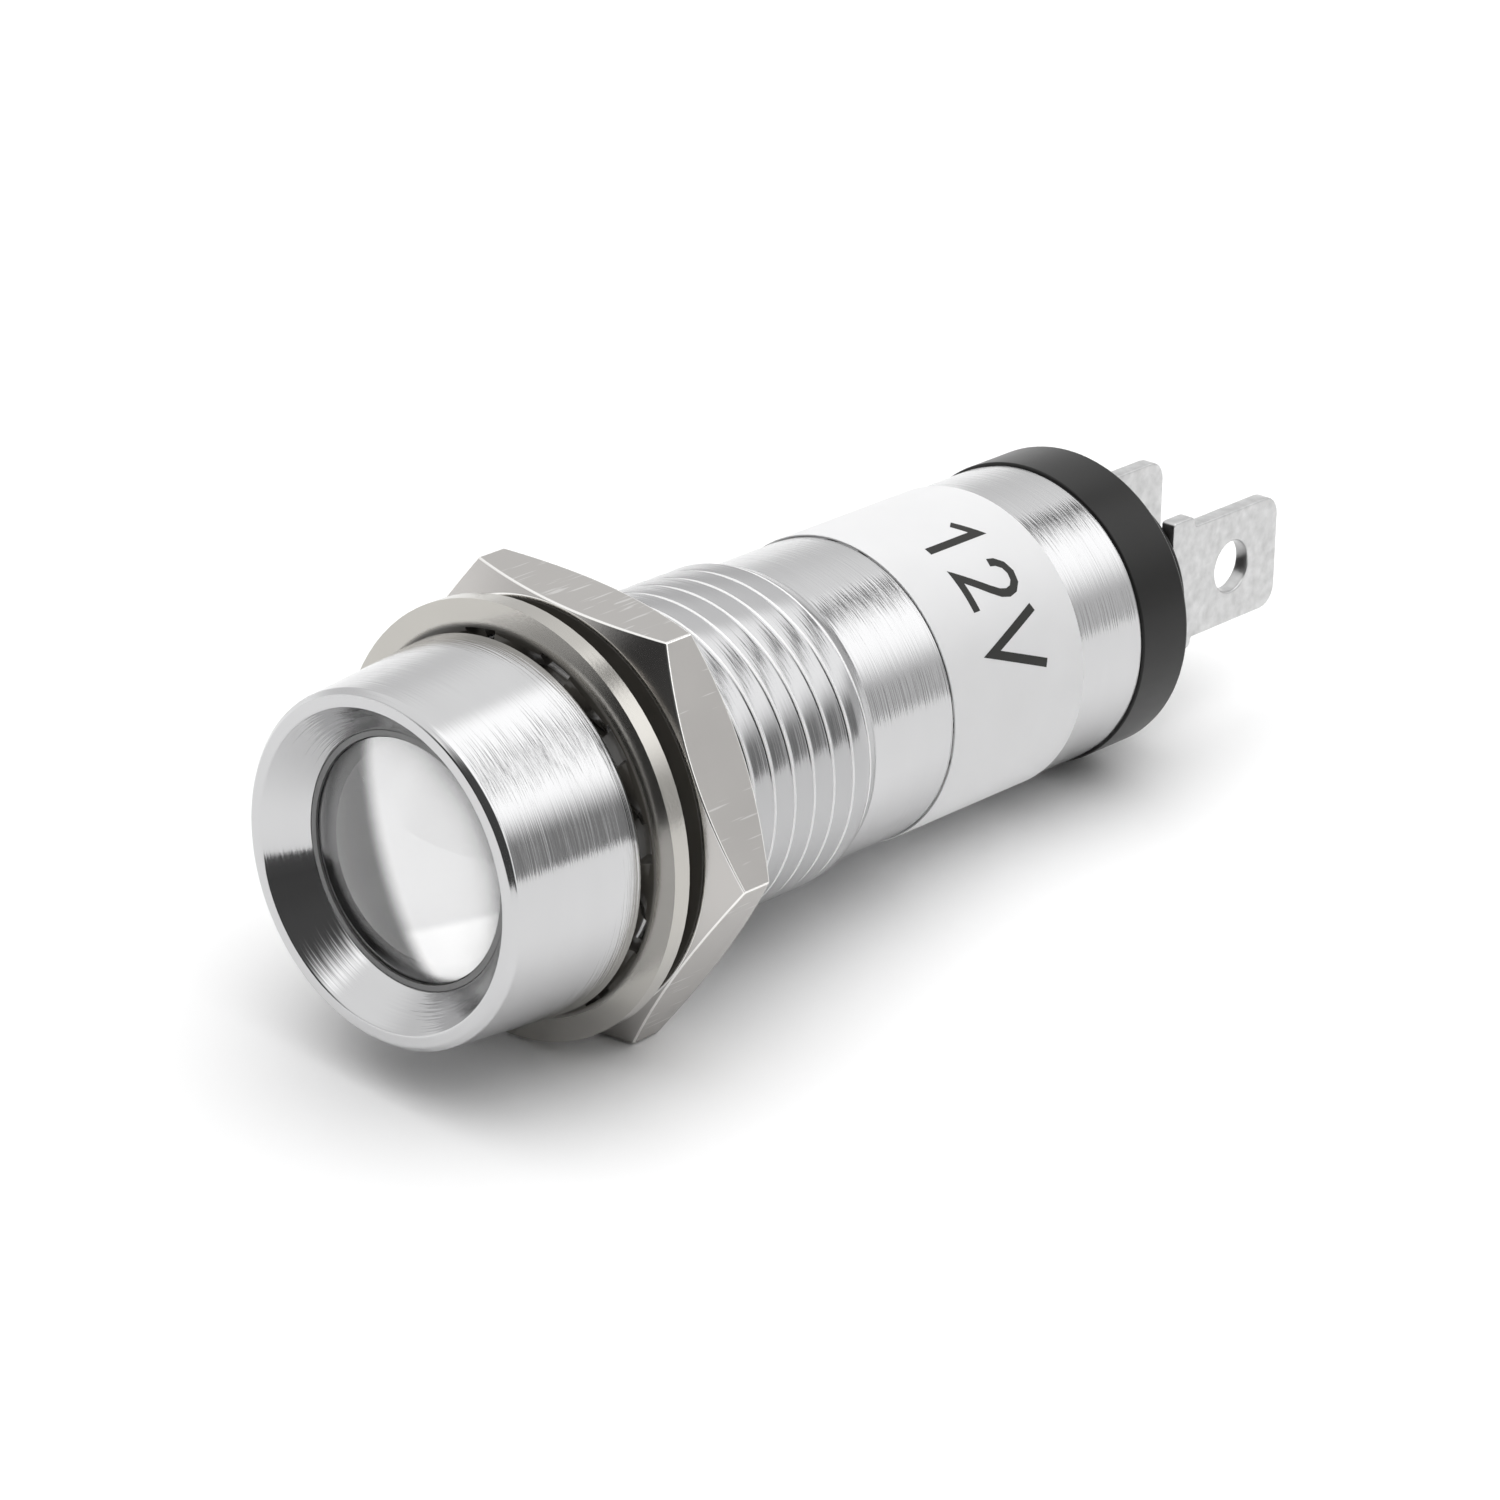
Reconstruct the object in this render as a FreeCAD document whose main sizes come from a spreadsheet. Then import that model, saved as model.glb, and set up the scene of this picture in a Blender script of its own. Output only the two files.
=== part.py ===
import FreeCAD, Part
import Sketcher
import math
import os

# Panel pilot light, in millimetres. The axis of the lamp is the Y axis: the lens looks along -Y,
# the tab terminals point along +Y, and y = 0 is the seat behind the bezel that meets the panel.
DIMENSIONS = {
    # turned housing
    "bezel_length": 5.65,
    "bezel_front_radius": 6.25,
    "bezel_rear_radius": 6.7,
    "bezel_edge": 0.2,
    "reflector_rim_radius": 5.65,
    "reflector_depth": 1.3,
    "lens_bore_radius": 4.5,
    "lens_bore_depth": 1.5,
    "lamp_window_radius": 3.1,
    "web_thickness": 1.6,
    "housing_bore_radius": 4.5,
    "thread_radius": 5.95,
    "thread_length": 12.0,
    "thread_runout": 0.8,
    "stub_radius": 5.6,
    "stub_end": 16.9,
    "spigot_length": 3.0,
    "spigot_wall": 0.5,
    # rear sleeve and its printed band
    "sleeve_length": 10.5,
    "sleeve_wall": 0.55,
    "label_length": 7.1,
    "label_thickness": 0.07,
    # lens and gasket
    "dome_radius": 4.25,
    "dome_height": 1.3,
    "neck_length": 0.45,
    "dome_flat": 0.05,
    "gasket_stand": 0.05,
    "lens_clearance": 0.05,
    # lamp and holder
    "lamp_radius": 2.5,
    "lamp_nose_radius": 1.3,
    "lamp_nose_length": 1.5,
    "lamp_flange_radius": 2.9,
    "lamp_flange_thickness": 1.0,
    "lamp_length": 8.6,
    "lamp_gap": 0.25,
    "lead_width": 0.5,
    "lead_spacing": 2.54,
    "lead_length": 4.0,
    "holder_clearance": 0.05,
    "liner_wall": 0.25,
    # circuit board
    "board_setback": 2.0,
    "board_gap": 0.3,
    "board_thickness": 1.6,
    "component_offset": 1.9,
    "component_lead_radius": 0.25,
    "component_stand": 0.1,
    "lead_hole_radius": 0.35,
    "lead_tail": 0.6,
    "resistor_radius": 0.95,
    "resistor_waist": 0.8,
    "resistor_length": 5.0,
    "resistor_cap": 1.1,
    "resistor_span": 8.0,
    "diode_radius": 1.0,
    "diode_length": 4.0,
    "diode_span": 7.0,
    "solder_leg": 0.6,
    "solder_length": 2.0,
    # rear insulator
    "insulator_radius": 5.7,
    "insulator_thickness": 2.75,
    "insulator_edge": 0.25,
    "plug_length": 6.0,
    "plug_clearance": 0.05,
    "boss_radius": 3.9,
    "boss_height": 2.2,
    "boss_edge": 0.3,
    # tab terminals
    "tab_spacing": 5.45,
    "tab_width": 4.4,
    "tab_thickness": 0.6,
    "tab_length": 5.0,
    "tab_tip_cut": 0.8,
    "tab_tip_bevel": 0.2,
    "tab_hole_radius": 1.0,
    "tab_hole_inset": 2.7,
    "shoulder_width": 5.2,
    "shoulder_length": 1.3,
    "tail_width": 3.0,
    "tail_reach": 2.6,
    "tail_clearance": 0.05,
    "terminal_turn": 5.0,
    "terminal_rise": 0.35,
    # lock washer
    "washer_band": 1.0,
    "washer_thickness": 0.7,
    "tooth_count": 12,
    "tooth_length": 0.65,
    "tooth_width": 2.1,
    "tooth_twist": 15.0,
    "tooth_clearance": 0.15,
    "tooth_root": 0.2,
    "washer_lift": 0.65,
    # panel nut
    "nut_wall": 1.55,
    "nut_thickness": 2.55,
    "nut_front": 2.1,
    "nut_face_inset": 0.1,
    "nut_chamfer": 0.88,
    "nut_bore_clearance": 0.05,
    "nut_bore_chamfer": 0.4,
    # how far a cut runs on past the piece that it cuts
    "cut_margin": 1.0,
}
DEFAULT_PLACE = ("0", "0", "0")

document = FreeCAD.newDocument("pilot_light")
sheet = document.addObject("Spreadsheet::Sheet", "Sizes")
for row, (name, value) in enumerate(DIMENSIONS.items(), start=1):
    sheet.set("A%d" % row, name)
    sheet.set("B%d" % row, str(value))
    sheet.setAlias("B%d" % row, name)
document.recompute()


def number(text):
    """The value of sums and products of sizes, written with a space round each sign."""
    total = 0.0
    term = None
    sign = 1.0
    action = "+"
    for word in text.split():
        if word in "+-*/":
            if word in "+-":
                total += sign * term
                term = None
                sign = -1.0 if word == "-" else 1.0
            action = word
            continue
        bare = word.lstrip("-")
        value = float(DIMENSIONS[bare] if bare in DIMENSIONS else bare)
        value = -value if word.startswith("-") else value
        if term is None:
            term = value
        elif action == "*":
            term *= value
        else:
            term /= value
    return total + sign * term


def linked(text):
    """The same sum as an expression on the sheet's cells."""
    words = []
    for word in text.split():
        bare = word.lstrip("-")
        if bare in DIMENSIONS:
            word = word.replace(bare, "Sizes." + bare)
        words.append(word)
    return " ".join(words)


def opposite(text):
    """The same sum with every sign turned round."""
    signs = {"+": "-", "-": "+"}
    words = [signs.get(word, word) for word in text.split()]
    words[0] = words[0][1:] if words[0].startswith("-") else "-" + words[0]
    return " ".join(words)


def halfway(first, second):
    """The place midway between two sums of sizes."""
    both = first + " + " + second
    return both.replace(" + ", " / 2 + ").replace(" - ", " / 2 - ") + " / 2"


def new_body(label):
    body = document.addObject("PartDesign::Body", label)
    body.Label = label
    return body


def turn_with_terminals(body):
    """The board, the terminals and what holds them sit a little turned about the lamp's axis."""
    turn = FreeCAD.Rotation(FreeCAD.Vector(0, -1, 0), number("terminal_turn"))
    body.Placement = FreeCAD.Placement(FreeCAD.Vector(0, 0, 0), turn)
    body.setExpression("Placement.Rotation.Angle", linked("terminal_turn"))
    return body


def origin_item(body, role):
    for item in body.Origin.OriginFeatures:
        if item.Role == role:
            return item


def new_sketch(body, role, name, place=DEFAULT_PLACE):
    """A sketch on one of the body's own planes, moved by x, y and depth in that plane's frame."""
    sketch = body.newObject("Sketcher::SketchObject", name)
    sketch.AttachmentSupport = [(origin_item(body, role), "")]
    sketch.MapMode = "FlatFace"
    for axis, text in zip("xyz", place):
        if text != "0":
            sketch.setExpression("AttachmentOffset.Base." + axis, linked(text))
    return sketch


def draw_outline(sketch, corners, domes=()):
    """A closed outline whose corners are sums of sizes. The stretch that leaves a corner named in
    domes is an arc centred on the sketch's horizontal axis."""
    points = [FreeCAD.Vector(number(x), number(y), 0) for x, y in corners]
    count = len(points)
    edges = []
    for index, start in enumerate(points):
        end = points[(index + 1) % count]
        if index in domes:
            along = end.x - start.x
            centre_x = (end.x ** 2 + end.y ** 2 - start.x ** 2 - start.y ** 2) / (2 * along)
            centre = FreeCAD.Vector(centre_x, 0, 0)
            circle = Part.Circle(centre, FreeCAD.Vector(0, 0, 1), centre.distanceToPoint(start))
            first_angle = math.atan2(start.y, start.x - centre_x)
            last_angle = math.atan2(end.y, end.x - centre_x)
            angles = sorted((first_angle, last_angle))
            geometry = sketch.addGeometry(Part.ArcOfCircle(circle, *angles), False)
            backwards = first_angle > last_angle
            edges.append((geometry, 2 if backwards else 1, 1 if backwards else 2))
            sketch.addConstraint(Sketcher.Constraint("PointOnObject", geometry, 3, -1))
        else:
            geometry = sketch.addGeometry(Part.LineSegment(start, end), False)
            edges.append((geometry, 1, 2))
    for index, (geometry, first, last) in enumerate(edges):
        following, following_first, _ = edges[(index + 1) % count]
        sketch.addConstraint(Sketcher.Constraint("Coincident", geometry, last, following, following_first))
        across, up = corners[index]
        place_point(sketch, geometry, first, across, up)


def place_point(sketch, geometry, end, across, up):
    for kind, text, reference in (("DistanceX", across, -2), ("DistanceY", up, -1)):
        if text == "0":
            sketch.addConstraint(Sketcher.Constraint("PointOnObject", geometry, end, reference))
            continue
        row = sketch.addConstraint(Sketcher.Constraint(kind, -1, 1, geometry, end, number(text)))
        sketch.setExpression("Constraints[%d]" % row, linked(text))


def draw_circle(sketch, across, up, radius):
    place = FreeCAD.Vector(number(across), number(up), 0)
    circle = Part.Circle(place, FreeCAD.Vector(0, 0, 1), number(radius))
    geometry = sketch.addGeometry(circle, False)
    place_point(sketch, geometry, 3, across, up)
    row = sketch.addConstraint(Sketcher.Constraint("Radius", geometry, number(radius)))
    sketch.setExpression("Constraints[%d]" % row, linked(radius))


def draw_box(sketch, left, low, right, high):
    draw_outline(sketch, [(left, low), (right, low), (right, high), (left, high)])


def revolve(body, corners, name="Turned", domes=(), place=DEFAULT_PLACE, cut=False):
    """A turned form: corners are (y, radius), and the sketch's horizontal axis is the axis."""
    sketch = new_sketch(body, "YZ_Plane", name + "Outline", place)
    draw_outline(sketch, corners, domes)
    kind = "PartDesign::Groove" if cut else "PartDesign::Revolution"
    feature = body.newObject(kind, name)
    feature.Profile = sketch
    feature.ReferenceAxis = (sketch, ["H_Axis"])
    feature.Angle = 360
    return feature


def extrude(body, sketch, name, length, cut=False, both_ways=True, toward_rear=False):
    kind = "PartDesign::Pocket" if cut else "PartDesign::Pad"
    feature = body.newObject(kind, name)
    feature.Profile = sketch
    feature.SideType = "Symmetric" if both_ways else "One side"
    feature.Reversed = toward_rear
    feature.Length = number(length)
    feature.setExpression("Length", linked(length))
    return feature


def ring(label, front, rear, inner, outer):
    body = new_body(label)
    revolve(body, [(front, inner), (rear, inner), (rear, outer), (front, outer)])
    return body


# places along the axis that several pieces share
LENS_SEAT = "reflector_depth + lens_bore_depth - bezel_length"
BORE_FRONT = LENS_SEAT + " + web_thickness"
SPIGOT_RADIUS = "housing_bore_radius + spigot_wall"
SLEEVE_REAR = "stub_end + sleeve_length"
INSULATOR_REAR = SLEEVE_REAR + " + insulator_thickness"
BOSS_REAR = INSULATOR_REAR + " + boss_height"
PLUG_FRONT = SLEEVE_REAR + " - plug_length"
TAIL_FRONT = PLUG_FRONT + " - tail_reach"
LAMP_FRONT = LENS_SEAT + " + lamp_gap"
LAMP_REAR = LAMP_FRONT + " + lamp_length"
HOLDER_REAR = LAMP_REAR + " - lamp_flange_thickness"
SLEEVE_BORE = "stub_radius - sleeve_wall"
LINER_OUTER = "housing_bore_radius - holder_clearance"
BOARD_FRONT = LAMP_REAR + " + board_setback"
BOARD_EDGE = LINER_OUTER + " - liner_wall - board_gap"
COMPONENT_CENTRE = halfway(BOARD_FRONT, TAIL_FRONT)
TAB_TIP = BOSS_REAR + " + shoulder_length + tab_length"
WASHER_INNER = "thread_radius + tooth_clearance + tooth_length"
NUT_FLAT = "thread_radius + nut_wall"


def make_housing():
    body = new_body("housing")
    revolve(body, [
        ("-bezel_length", "reflector_rim_radius"),
        ("-bezel_length", "bezel_front_radius - bezel_edge"),
        ("bezel_edge - bezel_length", "bezel_front_radius"),
        ("-bezel_edge", "bezel_rear_radius"),
        ("0", "bezel_rear_radius - bezel_edge"),
        ("0", "thread_radius"),
        ("thread_length", "thread_radius"),
        ("thread_length + thread_runout", "stub_radius"),
        ("stub_end", "stub_radius"),
        ("stub_end", SPIGOT_RADIUS),
        ("stub_end + spigot_length", SPIGOT_RADIUS),
        ("stub_end + spigot_length", "housing_bore_radius"),
        (BORE_FRONT, "housing_bore_radius"),
        (BORE_FRONT, "lamp_window_radius"),
        (LENS_SEAT, "lamp_window_radius"),
        (LENS_SEAT, "lens_bore_radius"),
        ("reflector_depth - bezel_length", "lens_bore_radius"),
    ])
    return body


def make_rear_sleeve():
    return ring("rear_sleeve", "stub_end", SLEEVE_REAR, SLEEVE_BORE, "stub_radius")


def make_label():
    return ring("voltage_label", "stub_end", "stub_end + label_length", "stub_radius",
                "stub_radius + label_thickness")


def make_lens():
    """Solid clear lens: a flange in the bore, a short neck through the gasket and a low dome."""
    body = new_body("lens")
    dome_edge = LENS_SEAT + " - lens_bore_depth + gasket_stand"
    revolve(body, [
        (dome_edge + " - dome_height", "0"),
        (dome_edge + " - dome_height", "dome_flat"),
        (dome_edge, "dome_radius"),
        (dome_edge + " + neck_length", "dome_radius"),
        (dome_edge + " + neck_length", "lens_bore_radius - lens_clearance"),
        (LENS_SEAT, "lens_bore_radius - lens_clearance"),
        (LENS_SEAT, "0"),
    ], domes=(1,))
    return body


def make_gasket():
    front = LENS_SEAT + " - lens_bore_depth"
    rear = front + " + gasket_stand + neck_length"
    return ring("lens_gasket", front, rear, "dome_radius + lens_clearance", "lens_bore_radius")


def make_lamp_holder():
    return ring("lamp_holder", BORE_FRONT, HOLDER_REAR, "lamp_radius + holder_clearance", LINER_OUTER)


def make_lamp():
    """Clear light source: a blunt nose, a round body and a flange that rests on its holder."""
    body = new_body("led_lamp")
    revolve(body, [
        (LAMP_FRONT, "0"),
        (LAMP_FRONT, "lamp_nose_radius"),
        (LAMP_FRONT + " + lamp_nose_length", "lamp_radius"),
        (HOLDER_REAR, "lamp_radius"),
        (HOLDER_REAR, "lamp_flange_radius"),
        (LAMP_REAR, "lamp_flange_radius"),
        (LAMP_REAR, "0"),
    ])
    return body


def make_lamp_lead(label, side):
    """A square lead that runs back from the lamp over one face of the board."""
    body = new_body(label)
    centre = side + "lead_spacing / 2"
    half = "lead_width / 2"
    sketch = new_sketch(body, "YZ_Plane", "LeadOutline")
    rear = LAMP_REAR + " + lead_length"
    draw_box(sketch, LAMP_REAR, centre + " - " + half, rear, centre + " + " + half)
    extrude(body, sketch, "Lead", "lead_width")
    return body


def make_liner():
    return ring("insulating_liner", HOLDER_REAR, PLUG_FRONT, LINER_OUTER + " - liner_wall", LINER_OUTER)


def make_board():
    """Board with a drilled hole for each wire and an open slot for each terminal's tail."""
    body = new_body("circuit_board")
    outline = new_sketch(body, "XY_Plane", "BoardOutline")
    draw_box(outline, opposite(BOARD_EDGE), BOARD_FRONT, BOARD_EDGE, PLUG_FRONT)
    extrude(body, outline, "Board", "board_thickness")
    slots = new_sketch(body, "XY_Plane", "SlotOutline")
    half_slot = "tab_thickness / 2 + tail_clearance"
    slot_front = TAIL_FRONT + " - tail_clearance"
    for side in ("", "-"):
        middle = side + "tab_spacing / 2"
        draw_box(slots, middle + " - tab_thickness / 2 - tail_clearance", slot_front,
                 middle + " + " + half_slot, PLUG_FRONT + " + tail_clearance")
    extrude(body, slots, "Slots", "board_thickness + cut_margin", cut=True)
    holes = new_sketch(body, "XY_Plane", "HoleOutline")
    for side, span in (("-", "resistor_span"), ("", "diode_span")):
        for end in (" - ", " + "):
            draw_circle(holes, side + "component_offset", COMPONENT_CENTRE + end + span + " / 2",
                        "lead_hole_radius")
    extrude(body, holes, "Holes", "board_thickness + cut_margin", cut=True)
    return body


def add_bent_wire(body, side, radius, span):
    """Round wire through both ends of a component, bent square down into the board."""
    height = "board_thickness / 2 + component_stand + " + radius
    foot = "-board_thickness / 2 - lead_tail"
    front = COMPONENT_CENTRE + " - " + span + " / 2"
    rear = COMPONENT_CENTRE + " + " + span + " / 2"
    path = new_sketch(body, "YZ_Plane", "WirePath", ("0", "0", side + "component_offset"))
    corners = [(front, foot), (front, height), (rear, height), (rear, foot)]
    points = [FreeCAD.Vector(number(along), number(up), 0) for along, up in corners]
    for start, end in zip(points, points[1:]):
        path.addGeometry(Part.LineSegment(start, end), False)
    for line in (1, 2):
        path.addConstraint(Sketcher.Constraint("Coincident", line - 1, 2, line, 1))
    for line, (along, up) in enumerate(corners[:3]):
        place_point(path, line, 1, along, up)
    place_point(path, 2, 2, *corners[3])
    section = new_sketch(body, "XY_Plane", "WireSection", ("0", "0", foot))
    draw_circle(section, side + "component_offset", front, "component_lead_radius")
    wire = body.newObject("PartDesign::AdditivePipe", "Wire")
    wire.Profile = section
    wire.Spine = path
    wire.Transition = "Right corner"
    return height


def make_resistor():
    """Axial resistor: two fat end caps, a waist between them and bent leads."""
    body = new_body("series_resistor")
    height = add_bent_wire(body, "-", "resistor_radius", "resistor_span")
    front = COMPONENT_CENTRE + " - resistor_length / 2"
    rear = COMPONENT_CENTRE + " + resistor_length / 2"
    revolve(body, [
        (front, "0"),
        (front, "resistor_radius"),
        (front + " + resistor_cap", "resistor_radius"),
        (front + " + resistor_cap", "resistor_waist"),
        (rear + " - resistor_cap", "resistor_waist"),
        (rear + " - resistor_cap", "resistor_radius"),
        (rear, "resistor_radius"),
        (rear, "0"),
    ], place=("0", height, "-component_offset"))
    return body


def make_diode():
    body = new_body("reverse_diode")
    height = add_bent_wire(body, "", "diode_radius", "diode_span")
    front = COMPONENT_CENTRE + " - diode_length / 2"
    rear = COMPONENT_CENTRE + " + diode_length / 2"
    revolve(body, [(front, "0"), (front, "diode_radius"), (rear, "diode_radius"), (rear, "0")],
            place=("0", height, "component_offset"))
    return body


def make_lead_solder(label, side):
    """Solder bridge between the board's face and a lamp lead."""
    body = new_body(label)
    face = side + "board_thickness / 2"
    lead = side + "lead_spacing / 2 " + ("- " if side == "" else "+ ") + "lead_width / 2"
    sketch = new_sketch(body, "XZ_Plane", "SolderOutline", ("0", "0", opposite(BOARD_FRONT)))
    draw_outline(sketch, [
        ("-solder_leg", face),
        ("solder_leg", face),
        ("lead_width / 2", lead),
        ("-lead_width / 2", lead),
    ])
    extrude(body, sketch, "Solder", "solder_length", both_ways=False, toward_rear=True)
    return body


def make_tail_solder(label, side):
    """Solder fillet between the board's upper face and the inner face of a terminal's tail."""
    body = new_body(label)
    toward_axis = " - " if side == "" else " + "
    wall = side + "tab_spacing / 2" + toward_axis + "tab_thickness / 2"
    sketch = new_sketch(body, "XZ_Plane", "SolderOutline", ("0", "0", opposite(TAIL_FRONT)))
    draw_outline(sketch, [
        (wall, "board_thickness / 2"),
        (wall, "board_thickness / 2 + solder_leg"),
        (wall + toward_axis + "solder_leg", "board_thickness / 2"),
    ])
    extrude(body, sketch, "Solder", "solder_length", both_ways=False, toward_rear=True)
    return body


def make_insulator():
    """Moulded rear ring, with its plug inside the sleeve, its boss behind and two tail slots."""
    body = new_body("rear_insulator")
    plug = SLEEVE_BORE + " - plug_clearance"
    revolve(body, [
        (PLUG_FRONT, "0"),
        (PLUG_FRONT, plug),
        (SLEEVE_REAR, plug),
        (SLEEVE_REAR, "insulator_radius"),
        (INSULATOR_REAR + " - insulator_edge", "insulator_radius"),
        (INSULATOR_REAR, "insulator_radius - insulator_edge"),
        (INSULATOR_REAR, "boss_radius"),
        (BOSS_REAR + " - boss_edge", "boss_radius"),
        (BOSS_REAR, "boss_radius - boss_edge"),
        (BOSS_REAR, "0"),
    ])
    slots = new_sketch(body, "XZ_Plane", "SlotOutline", ("0", "0", opposite(PLUG_FRONT)))
    high = "terminal_rise + tail_width / 2 + tail_clearance"
    low = "terminal_rise - tail_width / 2 - tail_clearance"
    for side in ("", "-"):
        middle = side + "tab_spacing / 2"
        draw_box(slots, middle + " - tab_thickness / 2 - tail_clearance", low,
                 middle + " + tab_thickness / 2 + tail_clearance", high)
    depth = "plug_length + insulator_thickness + boss_height"
    extrude(body, slots, "Slots", depth + " + cut_margin", cut=True, both_ways=False)
    return body


def make_terminal(label, side):
    """Flat tab: a tail through the insulator, shoulders on the boss and a blade with a hole."""
    body = new_body(label)
    blade_start = BOSS_REAR + " + shoulder_length"
    upper = [
        (TAIL_FRONT, "tail_width / 2"),
        (BOSS_REAR, "tail_width / 2"),
        (BOSS_REAR, "shoulder_width / 2"),
        (blade_start, "shoulder_width / 2"),
        (blade_start, "tab_width / 2"),
        (TAB_TIP + " - tab_tip_cut", "tab_width / 2"),
        (TAB_TIP, "tab_width / 2 - tab_tip_cut"),
    ]
    lower = [(place, "terminal_rise " + opposite(half)) for place, half in reversed(upper)]
    upper = [(place, "terminal_rise + " + half) for place, half in upper]
    depth = side + "tab_spacing / 2"
    outline = new_sketch(body, "YZ_Plane", "BladeOutline", ("0", "0", depth))
    draw_outline(outline, upper + lower)
    extrude(body, outline, "Blade", "tab_thickness")
    hole = new_sketch(body, "YZ_Plane", "HoleOutline", ("0", "0", depth))
    draw_circle(hole, TAB_TIP + " - tab_hole_inset", "terminal_rise", "tab_hole_radius")
    extrude(body, hole, "Hole", "tab_thickness + cut_margin", cut=True)
    document.recompute()
    base = body.Tip
    tip = number(TAB_TIP)
    names = []
    for index, edge in enumerate(base.Shape.Edges, start=1):
        ends = [vertex.Point for vertex in edge.Vertexes]
        at_tip = all(abs(point.y - tip) < 1e-6 for point in ends)
        if at_tip and abs(ends[0].z - ends[-1].z) > number("tab_thickness"):
            names.append("Edge%d" % index)
    bevel = body.newObject("PartDesign::Chamfer", "TipBevel")
    bevel.Base = (base, names)
    bevel.Size = number("tab_tip_bevel")
    bevel.setExpression("Size", linked("tab_tip_bevel"))
    return body


def draw_tooth_section(sketch, angle):
    """A rectangle about the washer's middle plane, turned by the angle, as one tooth is cut."""
    middle = FreeCAD.Vector(0, number("washer_lift"), 0)
    turn = FreeCAD.Rotation(FreeCAD.Vector(0, 0, 1), angle)
    half_width = number("tooth_width / 2")
    half_thickness = number("washer_thickness / 2")
    signs = ((-1, -1), (1, -1), (1, 1), (-1, 1))
    points = [middle + turn.multVec(FreeCAD.Vector(a * half_width, b * half_thickness, 0))
              for a, b in signs]
    for index, start in enumerate(points):
        sketch.addGeometry(Part.LineSegment(start, points[(index + 1) % 4]), False)
    for index in range(4):
        sketch.addConstraint(Sketcher.Constraint("Coincident", index, 2, (index + 1) % 4, 1))
    for index in range(3):
        sketch.addConstraint(Sketcher.Constraint("Perpendicular", index, index + 1))
    for line, size in ((0, "tooth_width"), (1, "washer_thickness")):
        row = sketch.addConstraint(Sketcher.Constraint("Distance", line, number(size)))
        sketch.setExpression("Constraints[%d]" % row, linked(size))
    if angle:
        row = sketch.addConstraint(Sketcher.Constraint("Angle", 0, math.radians(angle)))
        sketch.setExpression("Constraints[%d]" % row, linked("tooth_twist"))
    else:
        sketch.addConstraint(Sketcher.Constraint("Horizontal", 0))
    centre = sketch.addGeometry(Part.Point(middle), True)
    place_point(sketch, centre, 1, "0", "washer_lift")
    sketch.addConstraint(Sketcher.Constraint("Symmetric", 0, 1, 2, 1, centre, 1))


def make_washer():
    """Lock washer with internal teeth: each tooth is twisted out of the plane of its ring."""
    body = new_body("lock_washer")
    front = "washer_lift - washer_thickness / 2"
    rear = "washer_lift + washer_thickness / 2"
    outer = WASHER_INNER + " + washer_band"
    revolve(body, [(front, WASHER_INNER), (rear, WASHER_INNER), (rear, outer), (front, outer)])
    tip = new_sketch(body, "XY_Plane", "ToothTip", ("0", "0", "thread_radius + tooth_clearance"))
    draw_tooth_section(tip, number("tooth_twist"))
    root = new_sketch(body, "XY_Plane", "ToothRoot", ("0", "0", WASHER_INNER + " - tooth_root"))
    draw_tooth_section(root, 0)
    straight = extrude(body, root, "StraightRoot", "tooth_root * 2", both_ways=False)
    tooth = body.newObject("PartDesign::AdditiveLoft", "TwistedTooth")
    tooth.Profile = tip
    tooth.Sections = [root]
    tooth.Ruled = True
    document.recompute()
    teeth = body.newObject("PartDesign::PolarPattern", "Teeth")
    teeth.Originals = [straight, tooth]
    teeth.Axis = (origin_item(body, "Y_Axis"), [""])
    teeth.Angle = 360
    teeth.Occurrences = int(number("tooth_count"))
    teeth.setExpression("Occurrences", linked("tooth_count"))
    body.Tip = teeth
    return body


def draw_hexagon(sketch, flat):
    """A regular hexagon about the origin, with one pair of flats level."""
    apothem = number(flat)
    corner_radius = apothem / math.cos(math.pi / 6)
    points = [FreeCAD.Vector(corner_radius * math.cos(k * math.pi / 3),
                             corner_radius * math.sin(k * math.pi / 3), 0) for k in range(6)]
    for index, start in enumerate(points):
        sketch.addGeometry(Part.LineSegment(start, points[(index + 1) % 6]), False)
    circle = sketch.addGeometry(
        Part.Circle(FreeCAD.Vector(0, 0, 0), FreeCAD.Vector(0, 0, 1), corner_radius), True)
    sketch.addConstraint(Sketcher.Constraint("Coincident", circle, 3, -1, 1))
    for index in range(6):
        sketch.addConstraint(Sketcher.Constraint("Coincident", index, 2, (index + 1) % 6, 1))
        sketch.addConstraint(Sketcher.Constraint("PointOnObject", index, 1, circle))
    for index in range(1, 6):
        sketch.addConstraint(Sketcher.Constraint("Equal", 0, index))
    sketch.addConstraint(Sketcher.Constraint("Horizontal", 1))
    row = sketch.addConstraint(Sketcher.Constraint("DistanceY", -1, 1, 1, 1, apothem))
    sketch.setExpression("Constraints[%d]" % row, linked(flat))


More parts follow.
